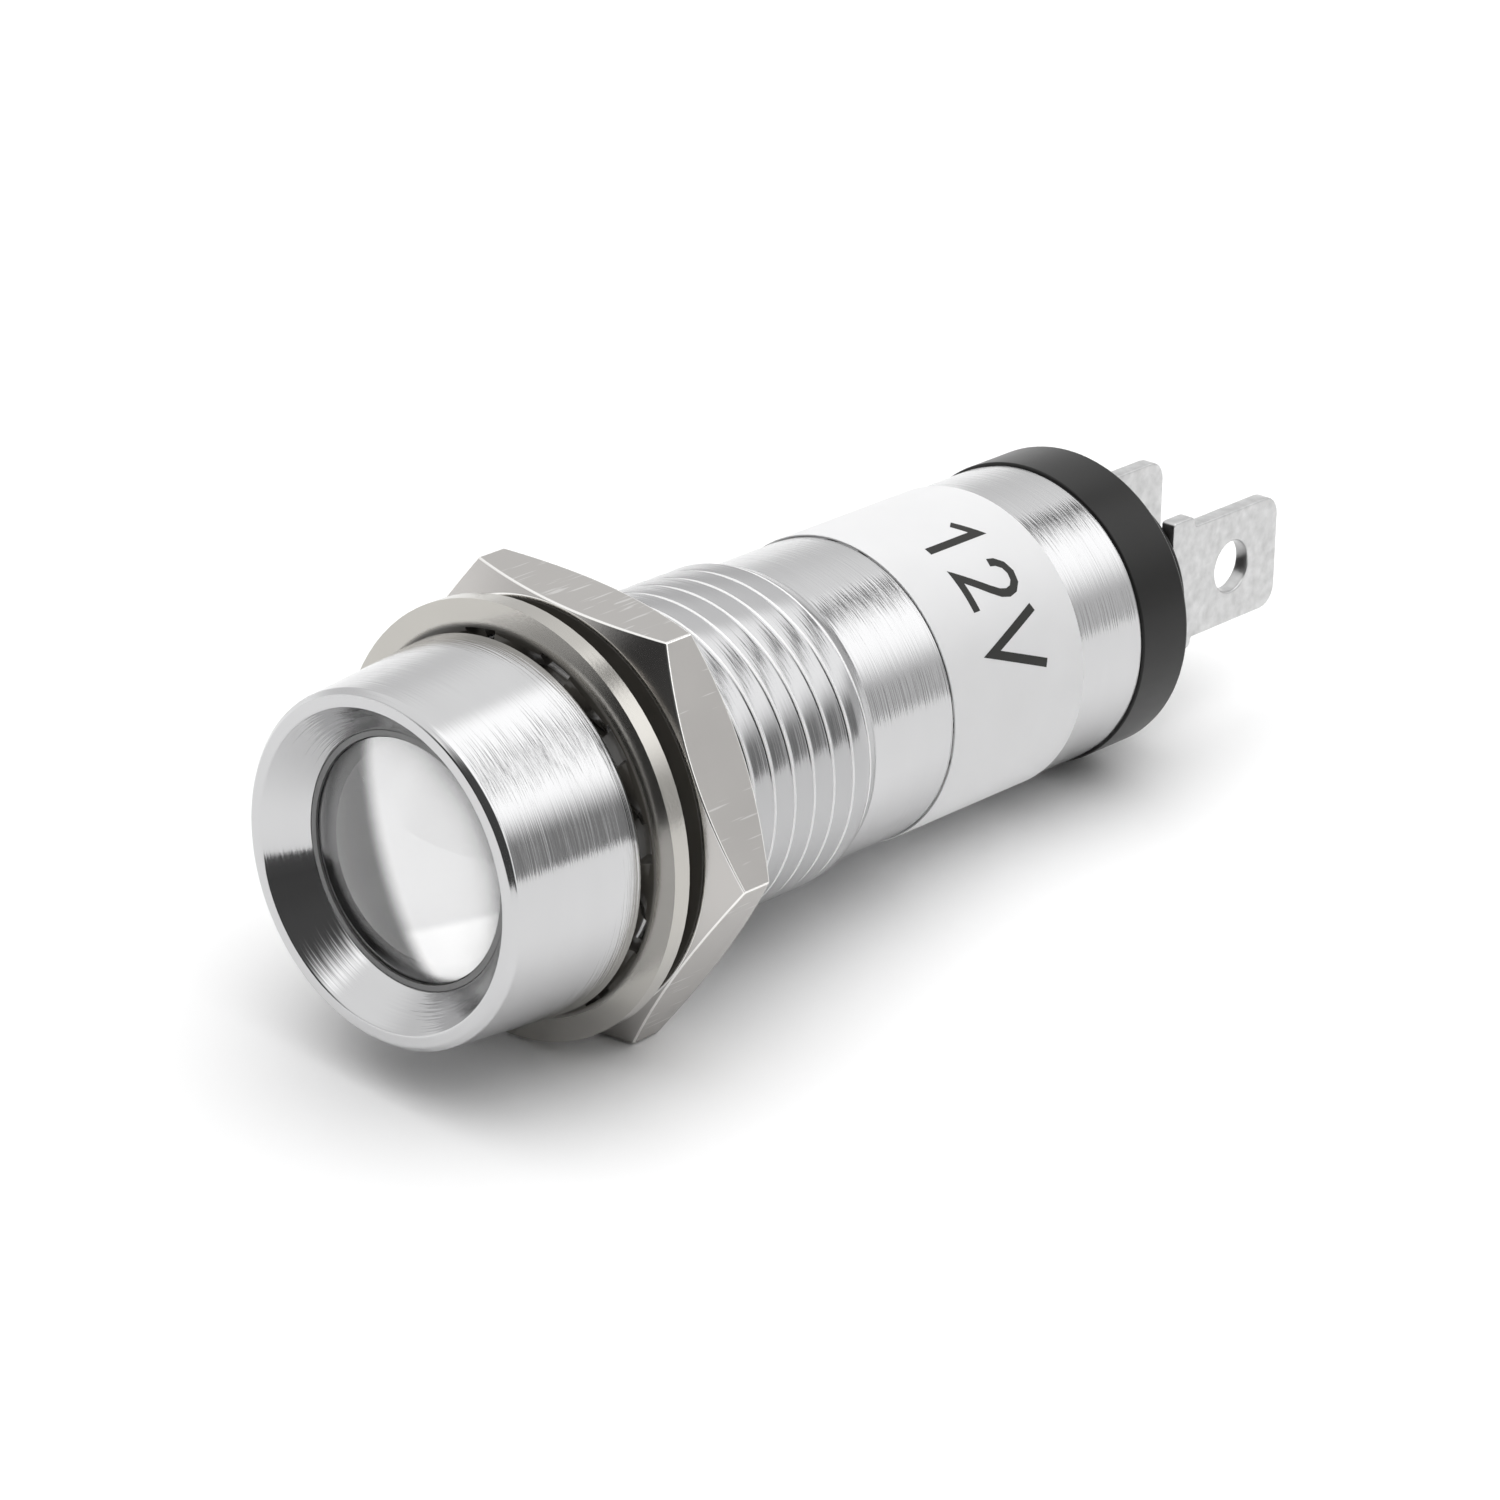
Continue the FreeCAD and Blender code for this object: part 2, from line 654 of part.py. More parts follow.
def make_nut():
    """Thin hexagon nut, with both faces turned to a cone at the corners and at the bore."""
    body = new_body("panel_nut")
    outline = new_sketch(body, "XZ_Plane", "HexagonOutline", ("0", "0", "-nut_front"))
    draw_hexagon(outline, NUT_FLAT)
    extrude(body, outline, "Hexagon", "nut_thickness", both_ways=False, toward_rear=True)
    bore = new_sketch(body, "XZ_Plane", "BoreOutline", ("0", "0", "-nut_front"))
    inside = "thread_radius + nut_bore_clearance"
    draw_circle(bore, "0", "0", inside)
    extrude(body, bore, "Bore", "nut_thickness + cut_margin", cut=True, both_ways=False)
    rear = "nut_front + nut_thickness"
    outside = NUT_FLAT + " + nut_wall"
    for face, inward, name in (("nut_front", " + ", "Front"), (rear, " - ", "Rear")):
        slope_end = face + inward + "nut_chamfer"
        revolve(body, [(face, NUT_FLAT + " - nut_face_inset"), (face, outside), (slope_end, outside)],
                name=name + "Chamfer", cut=True)
        lead_in_end = face + inward + "nut_bore_chamfer"
        revolve(body, [(face, inside + " - nut_bore_chamfer"), (face, inside + " + nut_bore_chamfer"),
                       (lead_in_end, inside), (lead_in_end, inside + " - nut_bore_chamfer")],
                name=name + "LeadIn", cut=True)
    return body


ROUND_BODIES = [
    make_housing(),
    make_rear_sleeve(),
    make_label(),
    make_lens(),
    make_gasket(),
    make_lamp_holder(),
    make_lamp(),
    make_liner(),
    make_washer(),
    make_nut(),
]
TURNED_BODIES = [
    make_lamp_lead("anode_lead", ""),
    make_lamp_lead("cathode_lead", "-"),
    make_board(),
    make_resistor(),
    make_diode(),
    make_lead_solder("anode_solder", ""),
    make_lead_solder("cathode_solder", "-"),
    make_tail_solder("positive_solder", ""),
    make_tail_solder("negative_solder", "-"),
    make_insulator(),
    make_terminal("positive_terminal", ""),
    make_terminal("negative_terminal", "-"),
]
for turned_body in TURNED_BODIES:
    turn_with_terminals(turned_body)
BODIES = ROUND_BODIES + TURNED_BODIES
document.recompute()

failed = [item.Label for item in document.Objects if "Invalid" in item.State or "Error" in item.State]
for body in BODIES:
    shape = body.Shape
    if shape.isNull() or not shape.isValid() or len(shape.Solids) != 1:
        failed.append(body.Label)
if failed:
    raise RuntimeError("these pieces did not build: " + ", ".join(failed))

os.makedirs("parts", exist_ok=True)
for body in BODIES:
    body.Shape.exportStep("parts/" + body.Label + ".step")
    box = body.Shape.BoundBox
    print("%-18s volume %9.3f  y %7.2f to %6.2f  half width %5.2f  z %6.2f to %5.2f" % (
        body.Label, body.Shape.Volume, box.YMin, box.YMax, box.XMax, box.ZMin, box.ZMax))
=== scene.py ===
import bmesh
import bpy
import math
from mathutils import Matrix, Vector


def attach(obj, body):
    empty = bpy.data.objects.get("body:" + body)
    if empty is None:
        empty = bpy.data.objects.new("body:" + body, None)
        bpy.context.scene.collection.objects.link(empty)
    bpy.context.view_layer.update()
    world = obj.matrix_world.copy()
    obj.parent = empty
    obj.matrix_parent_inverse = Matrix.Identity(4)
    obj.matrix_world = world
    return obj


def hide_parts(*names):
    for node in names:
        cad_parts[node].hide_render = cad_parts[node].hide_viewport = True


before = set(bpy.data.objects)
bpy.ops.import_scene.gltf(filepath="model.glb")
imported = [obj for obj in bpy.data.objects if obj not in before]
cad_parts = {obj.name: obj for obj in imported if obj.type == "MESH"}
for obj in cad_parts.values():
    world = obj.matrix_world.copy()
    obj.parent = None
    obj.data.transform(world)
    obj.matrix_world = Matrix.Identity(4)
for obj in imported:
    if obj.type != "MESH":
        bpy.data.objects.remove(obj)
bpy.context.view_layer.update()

MM = 0.001
BODY = "lamp_body"

# Sizes in millimetres, as in the part: Y is the axis, y = 0 the bezel's seat on the panel
BEZEL_FRONT = -5.65
BEZEL_FRONT_RADIUS = 6.25
BEZEL_REAR_RADIUS = 6.7
BEZEL_EDGE = 0.2
RIM_RADIUS = 5.65
REFLECTOR_BOTTOM = -4.35
LENS_BORE_RADIUS = 4.5
LENS_SEAT = -2.85
WINDOW_RADIUS = 3.1
BORE_FRONT = -1.25
BORE_RADIUS = 4.5
THREAD_RADIUS = 5.95
BEZEL_OVERLAP = 0.6
THREAD_START = 0.3
THREAD_END = 12.0
RUNOUT = 0.8
PITCH = 1.0
THREAD_DEPTH = 0.14
STUB_RADIUS = 5.6
STUB_END = 16.9
SEAM_DEPTH = 0.05
SLEEVE_BORE = 5.05
SLEEVE_END = 27.4
SPIGOT_RADIUS = 5.0
SPIGOT_END = 19.9
LABEL_START = STUB_END + 0.03
LABEL_END = 24.0
LABEL_THICKNESS = 0.07
DOME_RADIUS = 4.25
DOME_EDGE = -4.3
DOME_HEIGHT = 1.3
NECK_END = -3.85
FLANGE_RADIUS = 4.45
LENS_BACK = LENS_SEAT - 0.01
BACK_HOLLOW = 0.4
INSULATOR_RADIUS = 5.7
INSULATOR_END = 30.15
INSULATOR_EDGE = 0.25
PLUG_FRONT = SLEEVE_END - 0.5
BOSS_RADIUS = 3.9
BOSS_END = 32.35
BOSS_EDGE = 0.3
WASHER_RADIUS = 7.75
WASHER_REAR = 1.0
NUT_FRONT = 2.1
NUT_THICKNESS = 2.55
NUT_FLATS = 15.0
NUT_FACE_RADIUS = 7.4
NUT_CHAMFER_SLOPE = 0.53
NUT_BORE_RADIUS = 6.0
NUT_LEAD_IN = 0.4
TURN = math.radians(5.0)
TERMINAL_RISE = 0.35
TAB_SPACING = 5.45
TAB_THICKNESS = 0.6
TAB_EDGE = 0.07
TAB_TIP = 38.65
TAB_HALF_WIDTH = 2.2
TAIL_FRONT = 18.8
TAIL_HALF_WIDTH = 1.5
SHOULDER_HALF_WIDTH = 2.6
SHOULDER_LENGTH = 1.3
TAB_HOLE_RADIUS = 1.0
TAB_HOLE_INSET = 2.7


def link_mesh(name, mesh):
    piece = bpy.data.objects.new(name, mesh)
    bpy.context.collection.objects.link(piece)
    return piece


def smooth(mesh, degrees=35):
    mesh.polygons.foreach_set("use_smooth", [True] * len(mesh.polygons))
    mesh.set_sharp_from_angle(angle=math.radians(degrees))


def add_bevel(piece, width, segments=2, degrees=25):
    bevel = piece.modifiers.new("rounded_edges", "BEVEL")
    bevel.width = width * MM
    bevel.segments = segments
    bevel.limit_method = "ANGLE"
    bevel.angle_limit = math.radians(degrees)
    bevel.harden_normals = True
    return bevel


def around(angle, along, radius):
    """A point in metres from its angle from the top, its place along the axis and its radius."""
    return radius * math.sin(angle) * MM, along * MM, radius * math.cos(angle) * MM


def grid_mesh(name, rows, segments, closed=True):
    """Rows of rings about the Y axis: each row is a function of the angle that gives (y, radius).
    A closed mesh also joins its last ring to its first."""
    mesh = bpy.data.meshes.new(name)
    shape = bmesh.new()
    rings = []
    for row in rows:
        ring = []
        for step in range(segments):
            angle = 2 * math.pi * step / segments
            along, radius = row(angle)
            if radius < 1e-6:
                ring = [shape.verts.new((0, along * MM, 0))] * segments
                break
            ring.append(shape.verts.new(around(angle, along, radius)))
        rings.append(ring)
    followers = rings[1:] + rings[:1] if closed else rings[1:]
    for first, second in zip(rings, followers):
        for step in range(segments):
            after = (step + 1) % segments
            corners = []
            for corner in (first[step], first[after], second[after], second[step]):
                if corner not in corners:
                    corners.append(corner)
            if len(corners) > 2:
                shape.faces.new(corners)
    bmesh.ops.recalc_face_normals(shape, faces=shape.faces)
    shape.to_mesh(mesh)
    shape.free()
    return mesh


def constant_row(along, radius):
    return lambda angle: (along, radius)


def lathe(name, profile, segments=160, closed=True, edge=0.05):
    rows = [constant_row(along, radius) for along, radius in profile]
    mesh = grid_mesh(name, rows, segments, closed)
    smooth(mesh)
    piece = link_mesh(name, mesh)
    if edge:
        add_bevel(piece, edge)
    return piece


def arc_profile(start, end, steps):
    """Points of a dome from start to end, both (y, radius), on an arc centred on the axis."""
    along = end[0] - start[0]
    centre = (end[0] ** 2 + end[1] ** 2 - start[0] ** 2 - start[1] ** 2) / (2 * along)
    radius = math.hypot(start[0] - centre, start[1])
    first = math.atan2(start[1], start[0] - centre)
    last = math.atan2(end[1], end[0] - centre)
    return [(centre + radius * math.cos(first + (last - first) * k / steps),
             radius * math.sin(first + (last - first) * k / steps)) for k in range(steps + 1)]


# materials

def new_material(name):
    material = bpy.data.materials.new(name)
    material.use_nodes = True
    tree = material.node_tree
    shader = tree.nodes["Principled BSDF"]
    return material, tree, shader


def feed(tree, socket, value):
    """Gives a socket a number, a colour or another node's output."""
    if isinstance(value, bpy.types.NodeSocket):
        tree.links.new(value, socket)
    elif isinstance(value, float):
        socket.default_value = value
    else:
        socket.default_value = (*value, 1)


def object_place(tree):
    return tree.nodes.new("ShaderNodeTexCoord").outputs["Object"]


def ring_place(tree, scale_across, scale_along):
    """The place scaled across the axis and along it, so that noise runs in rings round the axis, or
    in lines along it."""
    mapping = tree.nodes.new("ShaderNodeMapping")
    mapping.inputs["Scale"].default_value = (scale_across, scale_along, scale_across)
    tree.links.new(object_place(tree), mapping.inputs["Vector"])
    return mapping.outputs["Vector"]


def noise(tree, vector, scale=1.0, detail=3.0):
    texture = tree.nodes.new("ShaderNodeTexNoise")
    texture.inputs["Scale"].default_value = scale
    texture.inputs["Detail"].default_value = detail
    tree.links.new(vector, texture.inputs["Vector"])
    return texture.outputs["Fac"]


def remap(tree, value, low, high):
    node = tree.nodes.new("ShaderNodeMapRange")
    node.inputs["To Min"].default_value = low
    node.inputs["To Max"].default_value = high
    tree.links.new(value, node.inputs["Value"])
    return node.outputs["Result"]


def mix(tree, factor, first, second, kind="RGBA", blend="MIX"):
    """The first of two colours where the factor is 0 and the second where it is 1, or of two
    numbers where kind is FLOAT."""
    node = tree.nodes.new("ShaderNodeMix")
    node.data_type = kind
    node.blend_type = blend
    for name, value in (("Factor", factor), ("A", first), ("B", second)):
        feed(tree, node.inputs[name], value)
    return node.outputs["Result"]


def tinted(tree, factor, colour, share):
    """A colour that the factor varies between a share of itself and the whole."""
    return mix(tree, factor, [channel * share for channel in colour], colour)


def math_node(tree, operation, first, second=0.0):
    node = tree.nodes.new("ShaderNodeMath")
    node.operation = operation
    for socket, value in zip(node.inputs, (first, second)):
        feed(tree, socket, value)
    return node.outputs["Value"]


def ease(tree, value, low, high, at_low=0.0, at_high=1.0):
    """A smooth change from at_low to at_high while the value goes from low to high."""
    node = tree.nodes.new("ShaderNodeMapRange")
    node.interpolation_type = "SMOOTHSTEP"
    for name, amount in (("From Min", low), ("From Max", high), ("To Min", at_low), ("To Max", at_high)):
        feed(tree, node.inputs[name], amount)
    tree.links.new(value, node.inputs["Value"])
    return node.outputs["Result"]


def bump(tree, height, strength, distance, normal=None):
    node = tree.nodes.new("ShaderNodeBump")
    node.inputs["Strength"].default_value = strength
    node.inputs["Distance"].default_value = distance * MM
    tree.links.new(height, node.inputs["Height"])
    if normal is not None:
        tree.links.new(normal, node.inputs["Normal"])
    return node.outputs["Normal"]


def turned_metal(name, colour, roughness, lines, tilt, anisotropy=0.5, shaded=None, metallic=1.0):
    """Plated metal with fine turning rings: each ring tilts and dulls the reflection a little.
    Between the two places of shaded along the axis, painted shade fades out: the colour goes from dark
    SHADE to the plain plate, and the metallic amount from 0 to metallic."""
    material, tree, shader = new_material(name)
    shader.inputs["Metallic"].default_value = 1.0
    rings = noise(tree, ring_place(tree, 60.0, lines * 1000.0))
    arcs = noise(tree, ring_place(tree, 350.0, lines * 1400.0), detail=2.0)
    broad = noise(tree, ring_place(tree, 250.0, 900.0), detail=2.0)
    base = tinted(tree, broad, colour, 0.94)
    if shaded:
        # painted shade: dark and dull before shaded[0], the plain plate after shaded[1]
        split = tree.nodes.new("ShaderNodeSeparateXYZ")
        tree.links.new(object_place(tree), split.inputs["Vector"])
        unshaded = ease(tree, split.outputs["Y"], shaded[0] * MM, shaded[1] * MM)
        base = mix(tree, 1.0, base, mix(tree, unshaded, SHADE, colour), blend="DARKEN")
        tree.links.new(math_node(tree, "MULTIPLY", unshaded, metallic), shader.inputs["Metallic"])
    tree.links.new(base, shader.inputs["Base Color"])
    tree.links.new(remap(tree, arcs, roughness * 0.6, roughness * 1.4), shader.inputs["Roughness"])
    shader.inputs["Anisotropic"].default_value = anisotropy
    tangent = tree.nodes.new("ShaderNodeTangent")
    tangent.direction_type = "RADIAL"
    tangent.axis = "Y"
    tree.links.new(tangent.outputs["Tangent"], shader.inputs["Tangent"])
    normal = bump(tree, rings, tilt, 0.02)
    tree.links.new(bump(tree, arcs, tilt * 0.8, 0.012, normal), shader.inputs["Normal"])
    return material


def distance_from_axis(tree):
    """How far a point lies from the Y axis, in metres."""
    flat = tree.nodes.new("ShaderNodeVectorMath")
    flat.operation = "MULTIPLY"
    flat.inputs[1].default_value = (1, 0, 1)
    tree.links.new(object_place(tree), flat.inputs[0])
    length = tree.nodes.new("ShaderNodeVectorMath")
    length.operation = "LENGTH"
    tree.links.new(flat.outputs["Vector"], length.inputs[0])
    return length.outputs["Value"]


def satin_metal(name, colour, roughness, scratch, dark_inside=0.0, hairlines=0.0, mottle=0.93,
                spots=400.0):
    """Satin plate with fine grain, fine scratches and blots, which mottle the colour. Inside the
    radius dark_inside, in millimetres, the plate carries painted shade: dull and dark, as where no light
    reaches."""
    material, tree, shader = new_material(name)
    shader.inputs["Metallic"].default_value = 1.0
    place = object_place(tree)
    grain = noise(tree, place, 9000.0)
    cloud = noise(tree, place, 400.0)
    base = tinted(tree, noise(tree, place, spots), colour, mottle)
    if hairlines:
        lengthwise = noise(tree, ring_place(tree, 9000.0, 450.0), detail=1.0)
        base = mix(tree, ease(tree, lengthwise, 0.65, 0.72, 0.0, hairlines), base, PURE_WHITE)
    if dark_inside:
        # painted shade inside dark_inside: the SHADE colour and no metallic sheen
        shade_edge = dark_inside - 0.25
        reach = ease(tree, distance_from_axis(tree), shade_edge * MM, dark_inside * MM)
        base = mix(tree, 1.0, base, mix(tree, reach, SHADE, colour), blend="DARKEN")
        tree.links.new(reach, shader.inputs["Metallic"])
    tree.links.new(base, shader.inputs["Base Color"])
    tree.links.new(remap(tree, cloud, roughness * 0.8, roughness * 1.25), shader.inputs["Roughness"])
    lines = noise(tree, ring_place(tree, 700.0, 6000.0), detail=2.0)
    normal = bump(tree, grain, 0.15, 0.01)
    tree.links.new(bump(tree, lines, scratch, 0.01, normal), shader.inputs["Normal"])
    return material


def moulded(name, colour, roughness, specular=0.5):
    """Plastic, rubber or print with a fine grain and slightly uneven gloss."""
    material, tree, shader = new_material(name)
    place = object_place(tree)
    grain = noise(tree, place, 5000.0)
    cloud = noise(tree, place, 300.0, 2.0)
    tree.links.new(tinted(tree, cloud, colour, 0.9), shader.inputs["Base Color"])
    tree.links.new(remap(tree, cloud, roughness * 0.85, roughness * 1.2), shader.inputs["Roughness"])
    shader.inputs["Specular IOR Level"].default_value = specular
    tree.links.new(bump(tree, grain, 0.1, 0.01), shader.inputs["Normal"])
    return material


def beyond(tree, direction, edge, softness):
    """0 on the near side of a straight edge and 1 beyond it. The edge lies across the direction, and
    it and its softness are in millimetres."""
    across = tree.nodes.new("ShaderNodeVectorMath")
    across.operation = "DOT_PRODUCT"
    across.inputs[1].default_value = direction
    tree.links.new(object_place(tree), across.inputs[0])
    return ease(tree, across.outputs["Value"], (edge - softness / 2) * MM, (edge + softness / 2) * MM)


def half_dark(name, light, dark):
    """Bright metal behind the lens, with a painted reflection: its lower left part is painted dark
    as shade, and a strip low on the right is painted white as a highlight."""
    material, tree, shader = new_material(name)
    # painted shade: the lower left is dark
    lit = beyond(tree, (0.894, 0.0, 0.448), -1.15, 0.85)
    # painted highlight: a white strip low on the right
    strip = beyond(tree, (0.447, 0.0, -0.894), 2.1, 0.3)
    cloud = noise(tree, object_place(tree), 500.0, 2.0)
    unshaded = mix(tree, strip, light, PURE_WHITE)
    tree.links.new(mix(tree, lit, dark, unshaded), shader.inputs["Base Color"])
    tree.links.new(remap(tree, cloud, 0.2, 0.3), shader.inputs["Roughness"])
    shader.inputs["Metallic"].default_value = 1.0
    return material


def clear(name, roughness, tint):
    material, tree, shader = new_material(name)
    cloud = noise(tree, object_place(tree), 200.0, 2.0)
    tree.links.new(tinted(tree, cloud, tint, 0.98), shader.inputs["Base Color"])
    shader.inputs["Roughness"].default_value = roughness
    shader.inputs["Transmission Weight"].default_value = 1.0
    shader.inputs["IOR"].default_value = 1.49
    return material


PURE_WHITE = (1.0, 1.0, 1.0)
# the colour of painted shade in recesses that little light reaches
SHADE = (0.07, 0.065, 0.057)
PLATE = (0.58, 0.58, 0.585)
NUT_PLATE = (0.50, 0.485, 0.47)
# painted shade on the shank behind the washer, dark up to 1.0 mm along the axis and plain from 1.5 mm
SHANK_SHADE = (1.0, 1.5)

BEZEL = turned_metal("bezel_turned", PLATE, 0.1, 14.0, 0.4)
SLEEVE = turned_metal("sleeve_turned", PLATE, 0.12, 13.0, 0.45)
THREAD = turned_metal("thread_cut", (0.46, 0.46, 0.465), 0.15, 9.0, 0.4, shaded=SHANK_SHADE)
# painted highlight: the flank is pale and mostly matt so that it reads as bright lines
THREAD_FLANK = turned_metal("thread_flank", (0.85, 0.85, 0.85), 0.35, 9.0, 0.2, anisotropy=0.0,
                            shaded=SHANK_SHADE, metallic=0.3)
NUT = satin_metal("nut_satin", NUT_PLATE, 0.42, 0.4, hairlines=0.28)
# painted shade on the inner ring of both turned faces, inside 7.5 mm
NUT_TURNED = satin_metal("nut_turned", NUT_PLATE, 0.17, 0.2, dark_inside=7.5)
# painted highlight: the bevelled edges are nearly white
NUT_EDGE = satin_metal("nut_edge", (0.88, 0.87, 0.85), 0.17, 0.2)
# painted shade inside 7.0 mm, in the gap behind the bezel and among the teeth
WASHER = satin_metal("washer_plate", (0.50, 0.485, 0.455), 0.18, 0.15, dark_inside=7.0)
TIN = satin_metal("tin_plate", (0.72, 0.72, 0.72), 0.3, 0.3, mottle=0.55, spots=2500.0)
LABEL = moulded("label_band", (0.78, 0.78, 0.785), 0.35)
PRINT = moulded("label_print", (0.034, 0.034, 0.032), 0.5, specular=0.2)
BLACK = moulded("black_plastic", (0.01, 0.0098, 0.0094), 0.32, specular=0.27)
RUBBER = moulded("lens_rubber", (0.24, 0.24, 0.24), 0.35)
WHITE = moulded("white_plastic", (0.8, 0.8, 0.78), 0.4)
FILM = moulded("liner_film", (0.6, 0.5, 0.3), 0.3)
BOARD = moulded("board_green", (0.02, 0.12, 0.04), 0.35)
CERAMIC = moulded("resistor_lacquer", (0.55, 0.42, 0.25), 0.4)
DIODE = moulded("diode_moulding", (0.02, 0.02, 0.02), 0.3)
# painted reflection on the lens back: a dark lower left and a white highlight strip
REFLECTOR = half_dark("lens_reflector", (0.8, 0.8, 0.805), (0.15, 0.15, 0.15))
LENS = clear("lens_clear", 0.0, PURE_WHITE)
EPOXY = clear("lamp_epoxy", 0.05, (0.97, 0.98, 1.0))


def dress(piece, material):
    piece.data.materials.clear()
    piece.data.materials.append(material)


def make_housing():
    """The turned bezel with its bores, and the plain stub behind the threaded shank."""
    front = [
        (BEZEL_FRONT, RIM_RADIUS),
        (BEZEL_FRONT, BEZEL_FRONT_RADIUS - BEZEL_EDGE),
        (BEZEL_FRONT + BEZEL_EDGE, BEZEL_FRONT_RADIUS),
        (-BEZEL_EDGE, BEZEL_REAR_RADIUS),
        (0.0, BEZEL_REAR_RADIUS - BEZEL_EDGE),
        (0.0, THREAD_RADIUS - THREAD_DEPTH),
        (BEZEL_OVERLAP, THREAD_RADIUS - THREAD_DEPTH),
        (BEZEL_OVERLAP, BORE_RADIUS),
        (BORE_FRONT, BORE_RADIUS),
        (BORE_FRONT, WINDOW_RADIUS),
        (LENS_SEAT, WINDOW_RADIUS),
        (LENS_SEAT, LENS_BORE_RADIUS),
        (REFLECTOR_BOTTOM, LENS_BORE_RADIUS),
    ]
    bezel = lathe("bezel_body", front, segments=256, edge=0.06)
    dress(bezel, BEZEL)
    stub = lathe("plain_stub", [
        (THREAD_END + RUNOUT, STUB_RADIUS),
        (STUB_END - 0.02, STUB_RADIUS),
        (STUB_END, STUB_RADIUS - SEAM_DEPTH),
        (STUB_END, SPIGOT_RADIUS),
        (SPIGOT_END, SPIGOT_RADIUS),
        (SPIGOT_END, BORE_RADIUS),
        (THREAD_END + RUNOUT, BORE_RADIUS),
    ], segments=192, edge=0.0)
    dress(stub, SLEEVE)
    return bezel, stub


def thread_profile():
    """One pitch of the thread, from the bottom of one groove to the next: (share of pitch, depth).
    The faces after its third point are the flank, painted pale as a highlight."""
    band = [(0.13, 0.065), (0.2, 0.05), (0.5, 0.035), (0.84, 0.01)]
    crest = [(0.88, 0.01), (0.92, 0.035), (0.955, THREAD_DEPTH)]
    return [(0.0, THREAD_DEPTH), (0.02, THREAD_DEPTH), (0.065, 0.109)] + band + crest


def make_thread():
    """The threaded shank: a fine right-hand helix that fades out into the stub. The profile is
    repeated past both ends, and the points beyond an end are moved into its plane."""
    segments = 180
    # these flank faces take thread_flank, a painted highlight
    bright_flank = 2
    end = THREAD_END + RUNOUT
    profile = thread_profile()
    first_turn = int(THREAD_START / PITCH) - 2
    turns = int(end / PITCH) - first_turn + 2
    mesh = bpy.data.meshes.new("thread")
    shape = bmesh.new()

    def place(turn, share, depth, angle):
        along = (first_turn + turn + share + angle / (2 * math.pi)) * PITCH
        along = min(max(along, THREAD_START), end)
        top = THREAD_RADIUS
        fade = 1.0
        if along > THREAD_END:
            top += (STUB_RADIUS - THREAD_RADIUS) * (along - THREAD_END) / RUNOUT
            fade = 1 - (along - THREAD_END) / RUNOUT
        return around(angle, along, top - depth * fade)

    columns = []
    for step in range(segments + 1):
        angle = 2 * math.pi * step / segments
        column = [shape.verts.new(around(angle, THREAD_START, BORE_RADIUS))]
        for turn in range(turns):
            column += [shape.verts.new(place(turn, share, depth, angle)) for share, depth in profile]
        column.append(shape.verts.new(around(angle, end, BORE_RADIUS)))
        columns.append(column)
    for left, right in zip(columns, columns[1:]):
        for row in range(len(left) - 1):
            face = shape.faces.new((left[row], left[row + 1], right[row + 1], right[row]))
            if row > 0 and (row - 1) % len(profile) == bright_flank:
                face.material_index = 1
    bmesh.ops.remove_doubles(shape, verts=shape.verts, dist=0.0005 * MM)
    bmesh.ops.dissolve_degenerate(shape, edges=shape.edges, dist=0.0002 * MM)
    bmesh.ops.recalc_face_normals(shape, faces=shape.faces)
    shape.to_mesh(mesh)
    shape.free()
    smooth(mesh, 32)
    mesh.materials.append(THREAD)
    mesh.materials.append(THREAD_FLANK)
    return link_mesh("thread", mesh)


def make_nut():
    """The hexagon nut: chamfered faces that are turned, with painted shade on their inner ring, flats
    that are satin, and edges painted bright as a highlight.
    """
    apothem = NUT_FLATS / 2
    rear = NUT_FRONT + NUT_THICKNESS

    def hexagon(angle):
        local = (angle + math.pi / 6) % (math.pi / 3) - math.pi / 6
        return apothem / math.cos(local)

    def drop(angle):
        return max(0.0, hexagon(angle) - NUT_FACE_RADIUS) * NUT_CHAMFER_SLOPE

    rows = [
        constant_row(NUT_FRONT + NUT_LEAD_IN, NUT_BORE_RADIUS),
        constant_row(NUT_FRONT, NUT_BORE_RADIUS + NUT_LEAD_IN),
        constant_row(NUT_FRONT, NUT_FACE_RADIUS),
        lambda angle: (NUT_FRONT + drop(angle), hexagon(angle)),
        lambda angle: (rear - drop(angle), hexagon(angle)),
        constant_row(rear, NUT_FACE_RADIUS),
        constant_row(rear, NUT_BORE_RADIUS + NUT_LEAD_IN),
        constant_row(rear - NUT_LEAD_IN, NUT_BORE_RADIUS),
    ]
    mesh = grid_mesh("nut", rows, 240)
    smooth(mesh, 20)
    piece = link_mesh("hex_nut", mesh)
    # the bevels take nut_edge, a painted highlight
    add_bevel(piece, 0.09, 2, 20).material = 2
    dress(piece, NUT)
    mesh.materials.append(NUT_TURNED)
    mesh.materials.append(NUT_EDGE)
    for face in mesh.polygons:
        if abs(face.normal.y) > 0.1:
            face.material_index = 1
    return piece


def make_lens():
    """The clear dome. Its back is a little hollow and carries the reflecting finish, with a painted
    reflection.
    """
    profile = arc_profile((DOME_EDGE - DOME_HEIGHT, 0.0), (DOME_EDGE, DOME_RADIUS), 40)
    profile += [(NECK_END, DOME_RADIUS), (NECK_END, FLANGE_RADIUS)]
    profile += arc_profile((LENS_BACK, FLANGE_RADIUS), (LENS_BACK - BACK_HOLLOW, 0.0), 24)
    piece = lathe("clear_lens", profile, segments=192, closed=False, edge=0.0)
    dress(piece, LENS)
    piece.data.materials.append(REFLECTOR)
    for face in piece.data.polygons:
        if face.normal.y > 0.9:
            face.material_index = 1
    return piece


